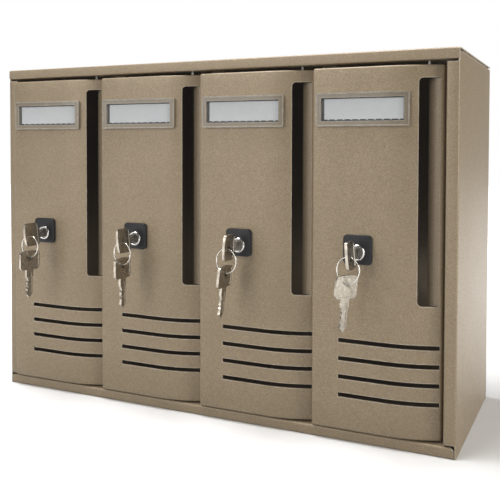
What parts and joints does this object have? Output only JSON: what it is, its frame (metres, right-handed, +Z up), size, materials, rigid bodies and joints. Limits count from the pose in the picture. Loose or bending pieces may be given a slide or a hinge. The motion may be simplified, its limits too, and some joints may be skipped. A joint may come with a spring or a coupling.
{
  "type": "cluster mailbox unit",
  "caption": "Sheet-steel bank of narrow letter boxes side by side, each with a hinged curved door, tall mail slot, louvres, name holder and cam lock with keys.",
  "frame": {"origin": "middle of the underside of the casing", "axes": "+X to the right seen from the doors, +Y towards the back, +Z up; the doors face -Y"},
  "size_m": [0.407, 0.1846, 0.29],
  "materials": {
    "powder_coat": "fine-textured metallic champagne powder coat",
    "black_plastic": "satin black moulding",
    "clear_plastic": "clear moulding",
    "card_paper": "white paper",
    "chrome": "bright nickel-chrome plating",
    "nickel": "nickel-plated keys, fine brushed",
    "ring_steel": "drawn spring wire",
    "zinc": "zinc-plated steel"
  },
  "bodies": {
    "casing": {"top_panel": "powder_coat", "bottom_panel": "powder_coat", "left_side_panel": "powder_coat", "right_side_panel": "powder_coat", "back_panel": "powder_coat", "partition_1": "powder_coat", "partition_2": "powder_coat", "partition_3": "powder_coat", "hinge_pins": "zinc", "casing_rivets": "zinc"},
    "door_1": {"door_1_panel": "powder_coat", "door_1_name_holder": "clear_plastic", "door_1_name_card": "card_paper", "door_1_lock_plate": "black_plastic", "door_1_lock_barrel": "chrome", "door_1_lock_nut": "zinc"},
    "lock_1": {"door_1_lock_plug": "chrome", "door_1_cam": "zinc", "door_1_cam_screw": "zinc", "door_1_key": "nickel"},
    "ring_1": {"door_1_key_ring": "ring_steel"},
    "spare_1": {"door_1_spare_key": "nickel"},
    "door_2": {"door_2_panel": "powder_coat", "door_2_name_holder": "clear_plastic", "door_2_name_card": "card_paper", "door_2_lock_plate": "black_plastic", "door_2_lock_barrel": "chrome", "door_2_lock_nut": "zinc"},
    "lock_2": {"door_2_lock_plug": "chrome", "door_2_cam": "zinc", "door_2_cam_screw": "zinc", "door_2_key": "nickel"},
    "ring_2": {"door_2_key_ring": "ring_steel"},
    "spare_2": {"door_2_spare_key": "nickel"},
    "door_3": {"door_3_panel": "powder_coat", "door_3_name_holder": "clear_plastic", "door_3_name_card": "card_paper", "door_3_lock_plate": "black_plastic", "door_3_lock_barrel": "chrome", "door_3_lock_nut": "zinc"},
    "lock_3": {"door_3_lock_plug": "chrome", "door_3_cam": "zinc", "door_3_cam_screw": "zinc", "door_3_key": "nickel"},
    "ring_3": {"door_3_key_ring": "ring_steel"},
    "spare_3": {"door_3_spare_key": "nickel"},
    "door_4": {"door_4_panel": "powder_coat", "door_4_name_holder": "clear_plastic", "door_4_name_card": "card_paper", "door_4_lock_plate": "black_plastic", "door_4_lock_barrel": "chrome", "door_4_lock_nut": "zinc"},
    "lock_4": {"door_4_lock_plug": "chrome", "door_4_cam": "zinc", "door_4_cam_screw": "zinc", "door_4_key": "nickel"},
    "ring_4": {"door_4_key_ring": "ring_steel"},
    "spare_4": {"door_4_spare_key": "nickel"}
  },
  "joints": [
    {"name": "door_1_hinge", "type": "hinge", "parent": "casing", "child": "door_1", "pos_m": [-0.11027, -0.067, 0.14405], "axis": [0, 0, 1], "range_deg": [0, 90]},
    {"name": "lock_1_turn", "type": "hinge", "parent": "door_1", "child": "lock_1", "pos_m": [-0.1589, -0.075, 0.1429], "axis": [0, 1, 0], "range_deg": [0, 90]},
    {"name": "ring_1_swing", "type": "hinge", "parent": "lock_1", "child": "ring_1", "pos_m": [-0.1589, -0.0986, 0.1418], "axis": [0.997, -0.0698, -0.0348], "range_deg": [-60, 10]},
    {"name": "spare_1_swing", "type": "hinge", "parent": "ring_1", "child": "spare_1", "pos_m": [-0.15955, -0.0986, 0.12321], "axis": [0.997, -0.0698, -0.0348], "range_deg": [-25, 10]},
    {"name": "door_2_hinge", "type": "hinge", "parent": "casing", "child": "door_2", "pos_m": [-0.01325, -0.067, 0.14405], "axis": [0, 0, 1], "range_deg": [0, 90]},
    {"name": "lock_2_turn", "type": "hinge", "parent": "door_2", "child": "lock_2", "pos_m": [-0.06187, -0.075, 0.1429], "axis": [0, 1, 0], "range_deg": [0, 90]},
    {"name": "ring_2_swing", "type": "hinge", "parent": "lock_2", "child": "ring_2", "pos_m": [-0.06187, -0.0986, 0.1418], "axis": [0.9816, -0.1908, 0], "range_deg": [-60, 10]},
    {"name": "spare_2_swing", "type": "hinge", "parent": "ring_2", "child": "spare_2", "pos_m": [-0.06187, -0.0986, 0.1232], "axis": [0.9816, -0.1908, 0], "range_deg": [-25, 10]},
    {"name": "door_3_hinge", "type": "hinge", "parent": "casing", "child": "door_3", "pos_m": [0.08378, -0.067, 0.14405], "axis": [0, 0, 1], "range_deg": [0, 90]},
    {"name": "lock_3_turn", "type": "hinge", "parent": "door_3", "child": "lock_3", "pos_m": [0.03515, -0.075, 0.1429], "axis": [0, 1, 0], "range_deg": [0, 90]},
    {"name": "ring_3_swing", "type": "hinge", "parent": "lock_3", "child": "ring_3", "pos_m": [0.03515, -0.0986, 0.1418], "axis": [0.9775, -0.1736, -0.12], "range_deg": [-60, 10]},
    {"name": "spare_3_swing", "type": "hinge", "parent": "ring_3", "child": "spare_3", "pos_m": [0.03288, -0.0986, 0.12334], "axis": [0.9775, -0.1736, -0.12], "range_deg": [-25, 10]},
    {"name": "door_4_hinge", "type": "hinge", "parent": "casing", "child": "door_4", "pos_m": [0.1808, -0.067, 0.14405], "axis": [0, 0, 1], "range_deg": [0, 90]},
    {"name": "lock_4_turn", "type": "hinge", "parent": "door_4", "child": "lock_4", "pos_m": [0.13217, -0.075, 0.1429], "axis": [0, 1, 0], "range_deg": [0, 90]},
    {"name": "ring_4_swing", "type": "hinge", "parent": "lock_4", "child": "ring_4", "pos_m": [0.13217, -0.0986, 0.1418], "axis": [0.965, -0.2419, -0.1014], "range_deg": [-60, 10]},
    {"name": "spare_4_swing", "type": "hinge", "parent": "ring_4", "child": "spare_4", "pos_m": [0.13023, -0.0986, 0.1233], "axis": [0.965, -0.2419, -0.1014], "range_deg": [-25, 10]}
  ]
}
